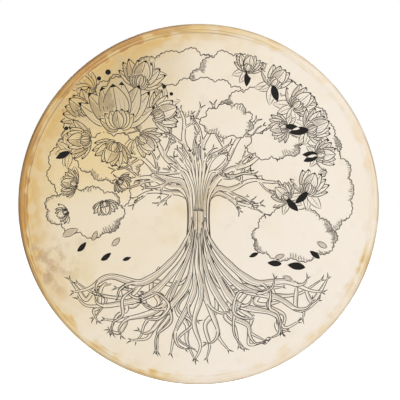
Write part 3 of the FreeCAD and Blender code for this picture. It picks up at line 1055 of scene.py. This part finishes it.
def inShape(points, shape):
    # which of the points lie inside a closed shape
    px, py = points[:, 0][:, None], points[:, 1][:, None]
    after = np.roll(shape, -1, axis=0)
    ax, ay = shape[:, 0][None, :], shape[:, 1][None, :]
    bx, by = after[:, 0][None, :], after[:, 1][None, :]
    crosses = (ay > py) != (by > py)
    reach = (bx - ax) * (py - ay) / np.where(by == ay, 1e-9, by - ay) + ax
    return np.logical_and(crosses, px < reach).sum(axis=1) % 2 == 1


def boxOf(line):
    across = [point[0] for point in line]
    upward = [point[1] for point in line]
    return min(across), min(upward), max(across), max(upward)


def apart(first, second):
    return first[2] < second[0] or second[2] < first[0] or first[3] < second[1] or second[3] < first[1]


def addStroke(kind, line):
    strokes.append((kind, line, boxOf(line)))


def trim(line, shape):
    # the runs of a line that lie outside a closed shape
    hidden = inShape(np.array([point[:2] for point in line]), shape)
    if not hidden.any():
        return [line]
    runs = [[]]
    for item, gone in zip(line, hidden):
        if gone:
            runs.append([])
        else:
            runs[-1].append(item)
    return [run for run in runs if len(run) > 1]


def coverUp(outline):
    # hide whatever was drawn before behind a closed outline
    shape = np.array([point[:2] for point in outline])
    frameOfShape = boxOf(outline)
    kept = []
    for kind, line, box in strokes:
        if apart(box, frameOfShape):
            kept.append((kind, line, box))
        else:
            kept += [(kind, run, boxOf(run)) for run in trim(line, shape)]
    strokes[:] = kept
    middle = [(sum(p[0] for p in solid) / len(solid), sum(p[1] for p in solid) / len(solid)) for solid in solids]
    if middle:
        hidden = inShape(np.array(middle), shape)
        solids[:] = [solid for solid, gone in zip(solids, hidden) if not gone]


def draw(points, width=None, kind="line", taper=(0.35, 0.35), share=0.18):
    # one stroke of the pen, thinner towards its ends
    width = width or inkLook[kind + "Width"]
    count = len(points)
    if count < 2:
        return
    line = []
    for index, point in enumerate(points):
        along = index / (count - 1)
        start = min(1.0, taper[0] + (1 - taper[0]) * along / share)
        end = min(1.0, taper[1] + (1 - taper[1]) * (1 - along) / share)
        line.append((point[0], point[1], width * min(start, end)))
    addStroke(kind, line)


def drawBetween(left, right, part, first, last, width, **settings):
    # a fine stroke that keeps its part of the way from one edge to the other
    draw([left[i].lerp(right[i], part) for i in range(first, last)], width=width, kind="fine", **settings)


def washBetween(left, right, part, first, last, widthAt):
    # the same with thinned ink; its width is worked out at each point
    addStroke("shade", [(*left[i].lerp(right[i], part), widthAt(i)) for i in range(first, last)])


def sidesOf(line, widths):
    # the two edges of a band of changing width
    left, right = [], []
    for index, point in enumerate(line):
        way = line[min(index + 1, len(line) - 1)] - line[max(index - 1, 0)]
        if way.length < 1e-9:
            continue
        way.normalize()
        normal = sideways(way)
        left.append(point + normal * widths[index] / 2)
        right.append(point - normal * widths[index] / 2)
    return left, right


def shadeEdge(left, right, widths, until):
    # a soft grey wash along one side of a branch or root
    share = chance.choice((0.27, 0.74))
    last = min(max(3, int(len(left) * until)), len(left))
    washBetween(left, right, share, 0, last, lambda i: max(0.3, widths[i] * 0.36))


def band(points, widthsAt, barkLines=0):
    # a root in front of what is there: two edges, some shading, and a forked tip
    line = smoothLine([keepInside(Vector(point), 170) for point in points])
    count = len(line)
    places = [index / (len(widthsAt) - 1) for index in range(len(widthsAt))]
    widths = [float(np.interp(index / (count - 1), places, widthsAt)) for index in range(count)]
    widths = [width * (1 + 0.07 * math.sin(index * 0.30 + widthsAt[1] * 3)) for index, width in enumerate(widths)]
    left, right = sidesOf(line, widths)
    coverUp(left + right[::-1])
    if max(widths) > 2.2:
        shadeEdge(left, right, widths, 0.85)
    for number in range(barkLines):
        part = (number + 1) / (barkLines + 1) + chance.uniform(-0.08, 0.08)
        first = int(count * chance.uniform(0.05, 0.35))
        last = int(count * chance.uniform(0.55, 0.9))
        if last - first > 4:
            drawBetween(left, right, part, first, last, 0.55)
    draw(left, taper=(0.7, 0.8))
    draw(right, taper=(0.7, 0.8))
    end, way = line[-1], (line[-1] - line[-3]).normalized()
    for edge, sign, reach in ((left, 1, 7), (right, -1, 5)):
        # two short points, like a claw
        side = sideways(way) * sign
        tip = end + way * reach + side * reach * 0.5
        draw([edge[-1], end + way * reach * 0.5 + side * 1.4, tip], width=0.8)
        draw([end + way * 1.0, end + way * reach * 0.55 + side * 0.8, tip], width=0.7)
    return line


def limbs(lead, heading, length, width, depth, pointed=False):
    # centre lines and widths of a branch and all its side branches
    steps = max(3, round(length / 11))
    points = [Vector(point) for point in lead]
    swing = chance.uniform(0, fullTurn)
    strength = chance.uniform(0.22, 0.36)
    for step in range(steps):
        angle = heading + strength * math.sin(swing + step * 1.25) + chance.uniform(-0.06, 0.06)
        points.append(points[-1] + direction(angle) * length / steps)
    line = smoothLine(points)
    leadLength = sum((Vector(b) - Vector(a)).length for a, b in zip(lead, lead[1:]))
    leadShare = leadLength / (leadLength + length)
    tip = 0.9 if depth == 0 else width * 0.42
    widths = []
    for index in range(len(line)):
        t = max(0.0, (index / (len(line) - 1) - leadShare) / (1 - leadShare))
        grow = min(1.0, 0.15 + index / (0.2 * len(line))) if pointed else 1
        widths.append((width + (tip - width) * t ** 0.9) * grow)
    found = [(line, widths)]
    end, way = line[-1], (line[-1] - line[-3]).normalized()
    for sign in (-1, 1):
        # a small fork at the tip
        side = sideways(way) * sign
        reach = chance.uniform(4, 8) * (1.0 if depth else 0.6)
        fork = smoothLine([line[-2], end + way * reach * 0.5 + side * reach * 0.18,
                           end + way * reach + side * reach * 0.55])
        found.append((fork, [tip * 0.7 + (0.25 - tip * 0.7) * i / (len(fork) - 1) for i in range(len(fork))]))
    if depth == 0:
        return found
    turnSide = chance.choice((-1, 1))
    firstShare = 0.16 if depth > 1 else 0.42
    for number in range(3 if depth > 1 else 1):
        share = leadShare + (1 - leadShare) * (firstShare + 0.29 * number + chance.uniform(-0.05, 0.05))
        index = int(min(0.93, share) * (len(line) - 2))
        way = line[index + 1] - line[index]
        turn = chance.uniform(0.45, 0.80) * turnSide
        turnSide = -turnSide
        start = line[index] - way.normalized() * widths[index] * 0.4
        found += limbs([start, line[index] + way * 0.5], math.atan2(way.y, way.x) + turn,
                       length * chance.uniform(0.34, 0.52), widths[index] * 0.66, depth - 1)
    return found


def drawTogether(found, shaded=True):
    # the outline of several branches that grow out of one another
    shapes, edges = [], []
    for line, widths in found:
        left, right = sidesOf(line, widths)
        outline = left + right[::-1]
        coverUp(outline)
        shapes.append((np.array([(p.x, p.y) for p in outline]), boxOf(outline)))
        edges.append((left, right, widths))
    for number, (left, right, widths) in enumerate(edges):
        if shaded and max(widths) > 2.0:
            shadeEdge(left, right, widths, 0.8)
        if widths[0] > 3.2:
            for part in (0.36, 0.62):
                first = int(len(widths) * chance.uniform(0.02, 0.3))
                drawBetween(left, right, part, first, int(len(widths) * chance.uniform(0.45, 0.75)), 0.45)
        pen = inkLook["lineWidth"] * (1.0 if widths[0] > 2.4 else 0.8)
        for edge in (left, right, [left[-1], right[-1]]):
            pieces = [[(p.x, p.y, pen) for p in edge]]
            frameOfEdge = boxOf(edge)
            for other, (outline, box) in enumerate(shapes):
                if other != number and not apart(box, frameOfEdge):
                    pieces = [run for piece in pieces for run in trim(piece, outline)]
            for piece in pieces:
                addStroke("line", piece)


def cloud(u, v, ru, rv, patches, bumpSize):
    # a foliage cloud: bumps with a wavy edge, and hatching inside parts of the edge
    around = math.pi * (3 * (ru + rv) - math.sqrt((3 * ru + rv) * (ru + 3 * rv)))
    bumps = max(5, round(around / bumpSize))
    lean = chance.uniform(0, fullTurn)
    sizes = [chance.uniform(0.75, 1.25) for _ in range(bumps)]
    steps = int(around / 1.1)
    waves = around / 4.6
    outline, inwards = [], []
    for step in range(steps):
        angle = step * fullTurn / steps
        place = (angle / fullTurn * bumps + lean) % bumps
        bump = math.sin(math.pi * (place % 1)) ** 0.75 * 4.6 * sizes[int(place) % bumps]
        ripple = 1.5 * abs(math.sin(math.pi * waves * step / steps + 0.5 * math.sin(angle * 5 + lean))) - 0.7
        outwards = Vector((math.cos(angle) / ru, math.sin(angle) / rv)).normalized()
        large = 1 + 0.07 * math.sin(2 * angle + lean) + 0.05 * math.sin(3 * angle + 2 * lean)
        base = keepInside(Vector((u + ru * large * math.cos(angle), v + rv * large * math.sin(angle))), 168)
        outline.append(keepInside(base + outwards * (bump + ripple), 177))
        inwards.append(-outwards)
    coverUp(outline)
    draw(outline + outline[:1], width=0.95, taper=(1, 1))
    for _ in range(patches):
        first = chance.randrange(steps)
        hatchAlong(outline, inwards, first, int(chance.uniform(12, 30)))


def hatchAlong(outline, inwards, first, span):
    # a patch of short crossing strokes inside the edge of a cloud
    depth = chance.uniform(3.5, 6.5)
    for offset in range(0, span, 2):
        index = (first + offset) % len(outline)
        swell = math.sin(math.pi * (offset + 0.5) / span) ** 0.5
        inward = inwards[index]
        for row in range(2 if depth * swell > 4.5 else 1):
            base = outline[index] + inward * (0.6 + row * depth * 0.45)
            for along in (-sideways(inward), sideways(inward)):
                reach = inward * depth * swell * chance.uniform(0.55, 0.8) + along * chance.uniform(1.2, 2.2)
                start = base - along * 0.9
                draw([start, start + reach * 0.5, start + reach], width=0.48, kind="fine", taper=(0.9, 0.5))


def petalShape(base, angle, length, width, bend=0.0):
    # the outline of a pointed petal, and its middle line
    way = direction(angle)
    side = sideways(way)
    left, right, middle = [], [], []
    for step in range(15):
        t = step / 14
        centre = base + way * length * t + side * bend * length * t * t
        half = width / 2 * math.sin(math.pi * t ** 0.9) ** 0.8
        left.append(centre + side * half)
        right.append(centre - side * half)
        middle.append(centre)
    return left, right, middle


def petal(base, angle, length, width, bend=0.0, lines=4, dark=False):
    left, right, middle = petalShape(base, angle, length, width, bend)
    coverUp(left + right[::-1])
    if dark:
        solids.append(left + right[1:-1][::-1])
        return
    draw(left, width=0.85, taper=(0.7, 1))
    draw(right, width=0.85, taper=(0.7, 1))
    if length > 12:
        draw(middle[:-1], width=0.7, taper=(1, 0.6))
    if length > 20:
        solids.append([left[-1] + (left[-1] - middle[-3]) * 0.1, left[-2], middle[-2], right[-2]])
    if length > 7 and chance.random() < 0.6:
        # a grey wash down one side of the petal, widest near the middle of its length
        for part, first, last in ((0.10, 1, 14), (0.20, 2, 13), (0.30, 4, 12), (0.39, 6, 10)):
            washBetween(left, right, part, first, last, lambda i: 0.3 + 0.12 * (left[i] - right[i]).length)
    for number in range(lines):
        part = (number + 1) / (lines + 1)
        reach = int(4 + 8 * chance.uniform(0.5, 1.0) * (1 - abs(part - 0.5)))
        drawBetween(left, right, part, 1, min(14, reach + 2), 0.40, taper=(0.9, 0.3), share=0.4)


# the petals of a flower, from the back to the front: turn, length and width
outerPetals = ((-1.55, 0.95, 0.34), (1.55, 0.95, 0.34), (-1.15, 1.08, 0.40), (1.15, 1.08, 0.40), (-0.78, 1.05, 0.46),
               (0.78, 1.05, 0.46), (-0.36, 1.0, 0.5), (0.36, 1.0, 0.5), (0.0, 0.98, 0.62))


def blossom(u, v, size, turn, dark=0.12):
    # a lotus-like flower seen from the side: outer petals, three broad ones, and a low cup in front
    base = Vector((u, v))
    for offset, length, broad in outerPetals:
        offset += chance.uniform(-0.06, 0.06)
        petal(base, turn + offset, size * length * chance.uniform(0.94, 1.05), size * broad, -0.2 * offset,
              5 if size > 15 else 3, abs(offset) > 0.9 and chance.random() < dark)
    for offset in (-1.25, 1.25, -0.8, 0.8, -0.4, 0.4, 0.0):
        petal(base - direction(turn) * size * 0.10, turn + offset, size * chance.uniform(0.44, 0.54), size * 0.27,
              -0.25 * offset, 2)


def leaf(u, v, length, angle, dark=False, veins=4, washed=False):
    left, right, middle = petalShape(Vector((u, v)), angle, length, length * 0.42, chance.uniform(-0.2, 0.2))
    coverUp(left + right[::-1])
    if dark:
        solids.append(left + right[1:-1][::-1])
        return
    for part in (0.2, 0.4, 0.6, 0.8) if washed else ():
        washBetween(left, right, part, 1, 14, lambda i: 0.22 * (left[i] - right[i]).length)
    draw(left, width=0.75)
    draw(right, width=0.75)
    draw(middle[:-1], width=0.5, kind="fine")
    for number in range(veins):
        index = 3 + int(number * 9 / veins)
        for edge in (left, right):
            draw([middle[index], middle[index].lerp(edge[min(13, index + 2)], 0.85)], width=0.36, kind="fine")


def spray(u, v, reach, first, last, count, dark=0.2):
    # a fan of leaves round a point
    for number in range(count):
        angle = first + (last - first) * number / (count - 1) + chance.uniform(-0.1, 0.1)
        length = reach * chance.uniform(0.75, 1.1)
        leaf(u, v, length, angle, chance.random() < dark, 4 if reach > 12 else 2)


rootPlan = (
    # each main root of the right side: its path, then its widths from end to end
    (((7, -14), (11, -36), (30, -62), (64, -82), (98, -84), (124, -92), (136, -100)),
     (0.6, 4.6, 8.0, 6.0, 1.6)),
    (((6, -18), (9, -42), (24, -70), (54, -98), (90, -106), (116, -114), (130, -106)),
     (0.6, 4.2, 7.6, 5.6, 1.4)),
    (((4, -20), (8, -48), (20, -78), (44, -112), (78, -124), (94, -132), (105, -131)),
     (0.6, 4.2, 8.0, 5.6, 1.6)),
    (((3, -26), (5, -54), (13, -88), (32, -122), (54, -138), (60, -150), (72, -153)),
     (0.6, 3.8, 7.4, 5.0, 1.4)),
    (((1, -30), (3, -62), (6, -98), (20, -134), (24, -150), (34, -164)), (0.6, 3.6, 6.6, 4.6, 1.4)),
)
crossPlan = (
    ((40, -72), (52, -92), (46, -112), (62, -128), (60, -144), (68, -153)),
    ((72, -84), (84, -98), (80, -114), (92, -122), (96, -137)),
    ((104, -88), (112, -98), (106, -110), (116, -118), (112, -126)),
    ((24, -80), (34, -100), (30, -122), (42, -138), (44, -157)),
    ((92, -106), (74, -112), (64, -104), (72, -92), (88, -90)),
    ((58, -120), (44, -124), (34, -112), (40, -98), (56, -98)),
    ((14, -94), (20, -116), (10, -134), (14, -154), (6, -167)),
    ((116, -92), (122, -104), (136, -94), (145, -82)),
    ((82, -128), (88, -138), (97, -137)),
    ((10, -70), (26, -92), (54, -88), (80, -100), (110, -100), (136, -86)),
)
tapRoot = ((0, -36), (-2, -66), (3, -98), (-5, -130), (2, -156), (-3, -172))


def shifted(points, sign, amount):
    # a mirrored path with small changes, so that the two sides differ
    return [Vector((sign * u + chance.uniform(-amount, amount), v + chance.uniform(-amount, amount)))
            for u, v in points]


def drawRoots():
    # cross roots first, then the main roots over them, then a few in front
    jobs = []
    for sign in (-1, 1):
        for path in crossPlan:
            jobs.append((shifted(path, sign, 4.0), (1.4, 4.4, 4.8, 3.2, 1.2)))
            if chance.random() < 0.3:
                jobs.append((shifted(path, sign, 8.0), (1.0, 2.4, 2.8, 2.0, 0.8)))
    chance.shuffle(jobs)
    for points, widths in jobs:
        band(points, widths)
    for path, widths in rootPlan:
        for sign in (-1, 1):
            start = Vector((sign * path[0][0], path[0][1]))
            line = band([start, *shifted(path[1:3], sign, 1.0), *shifted(path[3:], sign, 4.5)], widths, 2)
            for share in (0.60, 0.84):
                # a side root leaves downwards or outwards
                index = int(share * (len(line) - 2))
                begin, way = line[index], (line[index + 1] - line[index]).normalized()
                side = sideways(way) * chance.choice((-1, 1))
                reach = chance.uniform(10, 22)
                sidePath = [begin + way * reach * ahead + side * reach * beside
                            for ahead, beside in ((0, 0), (0.4, 0.15), (0.75, 0.5), (0.8, 0.95))]
                band([keepInside(point, 168) for point in sidePath], (3.4, 3.0, 2.2, 0.8))
    band(tapRoot, (0.8, 5.2, 6.0, 4.4, 1.5), 2)
    for sign in (-1, 1):
        for path in crossPlan[1:7:2]:
            points = shifted([(u * 0.92 + 6, v - 4) for u, v in path], sign, 5.0)
            band(points, (0.9, 2.8, 3.2, 2.2, 0.9))


treePlan = {
    # clouds: across, up, and half their size each way
    "backClouds": ((-118, 34, 44, 44), (-100, 98, 52, 44), (-28, 138, 58, 34), (52, 134, 62, 36),
                   (112, 86, 50, 48), (134, 18, 34, 44), (106, -34, 46, 24), (-124, -8, 38, 24)),
    "middleClouds": ((-72, 112, 36, 24), (4, 116, 44, 20), (66, 102, 40, 24), (100, 44, 36, 22), (-98, 52, 34, 24)),
    "frontClouds": ((-50, 96, 24, 14), (32, 92, 26, 14), (84, 66, 24, 14)),
    # branches: heading in degrees, reach, width
    "branches": ((190, 66, 5.0), (-9, 66, 5.0), (170, 88, 6.4), (8, 84, 6.0), (150, 94, 6.8), (30, 94, 6.8),
                 (128, 96, 7.0), (54, 98, 7.0), (104, 92, 6.2), (78, 96, 6.2)),
    "twigs": 8,
    # leaves: across, up, reach, first and last heading
    "leftSprays": ((-128, 92, 24, 1.9, 4.4), (-58, 140, 24, 0.2, 2.6), (-116, 126, 24, 1.6, 3.6),
                   (-142, 58, 20, 2.0, 4.6), (-40, 112, 20, -0.9, 1.4), (-70, 72, 18, 3.9, 6.0)),
    # flowers: across, up, size, heading
    "leftFlowers": ((-122, 100, 28, 2.5), (-66, 132, 28, 1.3), (-48, 98, 26, 0.4), (-122, 72, 24, 3.2),
                    (-64, 74, 22, 5.5), (-92, 66, 24, 4.3), (-88, 88, 46, 1.75)),
    "lowerFlowers": ((-136, 22, 17, 2.9), (-104, 2, 15, 4.9), (-88, 26, 13, 5.6), (-146, -8, 12, 3.6)),
    "dots": ((-100, 146, 3.0), (-110, 139, 2.4), (-38, 130, 2.4), (-30, 122, 2.0), (-146, 84, 2.2)),
    "rightFlowers": ((54, 148, 18, 1.3), (82, 132, 22, 0.9), (106, 108, 24, 0.7), (122, 82, 24, 0.4),
                     (132, 54, 20, 0.1), (96, 86, 18, 3.4), (120, 14, 24, 1.2), (98, 6, 18, 2.4)),
    # falling leaves: across, up, length, heading in degrees, black or not
    "falling": ((-134, -52, 14, 35, True), (-108, -62, 14, 28, True), (-96, -46, 13, 40, False),
                (-150, -36, 19, 38, False), (-84, -62, 10, 20, True), (-118, -40, 12, 50, False),
                (92, -66, 16, 175, True), (118, -70, 20, 168, True), (134, -60, 14, 140, True),
                (84, -60, 12, 20, False), (66, -54, 11, 200, True), (142, -48, 13, 150, False),
                (104, -84, 12, 160, False)),
}


def drawTree():
    # from the back of the drawing to the front
    plan = treePlan
    for place in plan["backClouds"]:
        cloud(*place, patches=8, bumpSize=22)
    for place in plan["middleClouds"]:
        cloud(*place, patches=5, bumpSize=18)
    print("clouds drawn")

    for degrees, length, width in plan["branches"]:
        angle = math.radians(degrees)
        out, rise = math.cos(angle), math.sin(angle)
        lead = [(14 * out, -66), (10.5 * out, -40), (9 * out, -14), (11 * out, 6 + 5 * rise),
                (21 * out, 15 + 18 * rise)]
        drawTogether(limbs(lead, angle, length - 18, width, 2))
    for number in range(plan["twigs"]):
        angle = math.radians(32 + 116 * (number + 0.5) / plan["twigs"])
        out, rise = math.cos(angle), math.sin(angle)
        lead = [(7 * out, -8), (6.5 * out, 6), (9 * out, 20), (17 * out, 26 + 14 * rise)]
        drawTogether(limbs(lead, angle + chance.uniform(-0.1, 0.1), chance.uniform(20, 32), 3.0, 1, pointed=True),
                     shaded=False)
    print("branches drawn")

    for place in plan["frontClouds"]:
        cloud(*place, patches=3, bumpSize=15)
    for place in plan["leftSprays"]:
        spray(*place, 6)
    for place in plan["leftFlowers"]:
        blossom(*place)
    for u, v, size, turn in plan["lowerFlowers"]:
        spray(u, v, size * 1.1, turn - 1.2, turn + 1.2, 5, 0.15)
        blossom(u, v, size, turn, dark=0.2)
    for u, v, radius in plan["dots"]:
        turns = [step * fullTurn / 16 for step in range(16)]
        solids.append([Vector((u + radius * math.cos(turn), v + radius * math.sin(turn))) for turn in turns])
    for u, v, size, turn in plan["rightFlowers"]:
        spray(u, v, size * 0.95, turn + 2.2, turn + 4.1, 4, 0.35)
        blossom(u, v, size, turn, dark=0.3)
    print("flowers drawn")
    drawRoots()
    print("roots drawn")
    for u, v, length, degrees, dark in plan["falling"]:
        leaf(u, v, length, math.radians(degrees), dark, 2, washed=True)


def closedSpline(data, points):
    spline = data.splines.new("POLY")
    spline.points.add(len(points) - 1)
    for index, point in enumerate(points):
        spline.points[index].co = (point[0], point[1], 0, 1)
    spline.use_cyclic_u = True


def layOnFace(piece):
    # the drawing is made lying flat, then stood up against the membrane
    surface = faceY + headShape["dish"] * mm
    piece.data.transform(Matrix.Translation((0, surface, 0)) @ Matrix.Rotation(math.radians(90), 4, "X"))


def makeInkPieces():
    look = inkLook
    drawTree()
    for kind, material in {"line": inkLine, "fine": inkFine, "shade": inkWash}.items():
        chosen = [line for strokeKind, line, box in strokes if strokeKind == kind]
        bpy.ops.curve.primitive_bezier_circle_add(radius=1)
        section = newest()
        section.data.splines.clear()
        low, high = -look["sunk"], look["heights"][kind]
        closedSpline(section.data, [(-0.5 * mm, low), (0.5 * mm, low), (0.5 * mm, high), (-0.5 * mm, high)])
        lines = [{"kind": "POLY", "points": [(u * mm, v * mm, 0) for u, v, width in line],
                  "radii": [width for u, v, width in line]} for line in chosen]
        piece = curveToMesh(f"ink{kind.title()}", lines, section, "Z_UP", 1)
        bpy.data.objects.remove(section)
        layOnFace(piece)
        finishPiece(piece, material, "rawhide", smoothAngle=20)
        print(f"ink {kind}: {len(chosen)} strokes, {len(piece.data.polygons)} faces")
    data = bpy.data.curves.new("solids", "CURVE")
    data.dimensions = "2D"
    data.fill_mode = "BOTH"
    data.extrude = look["solidHeight"]
    for solid in solids:
        closedSpline(data, [(point[0] * mm, point[1] * mm) for point in solid])
    piece = convertToMesh("inkSolids", data)
    layOnFace(piece)
    faceOutwards(piece)
    finishPiece(piece, inkBlack, "rawhide", smoothAngle=20)
    print(f"drawing made: {len(solids)} solid shapes")


makeInkPieces()
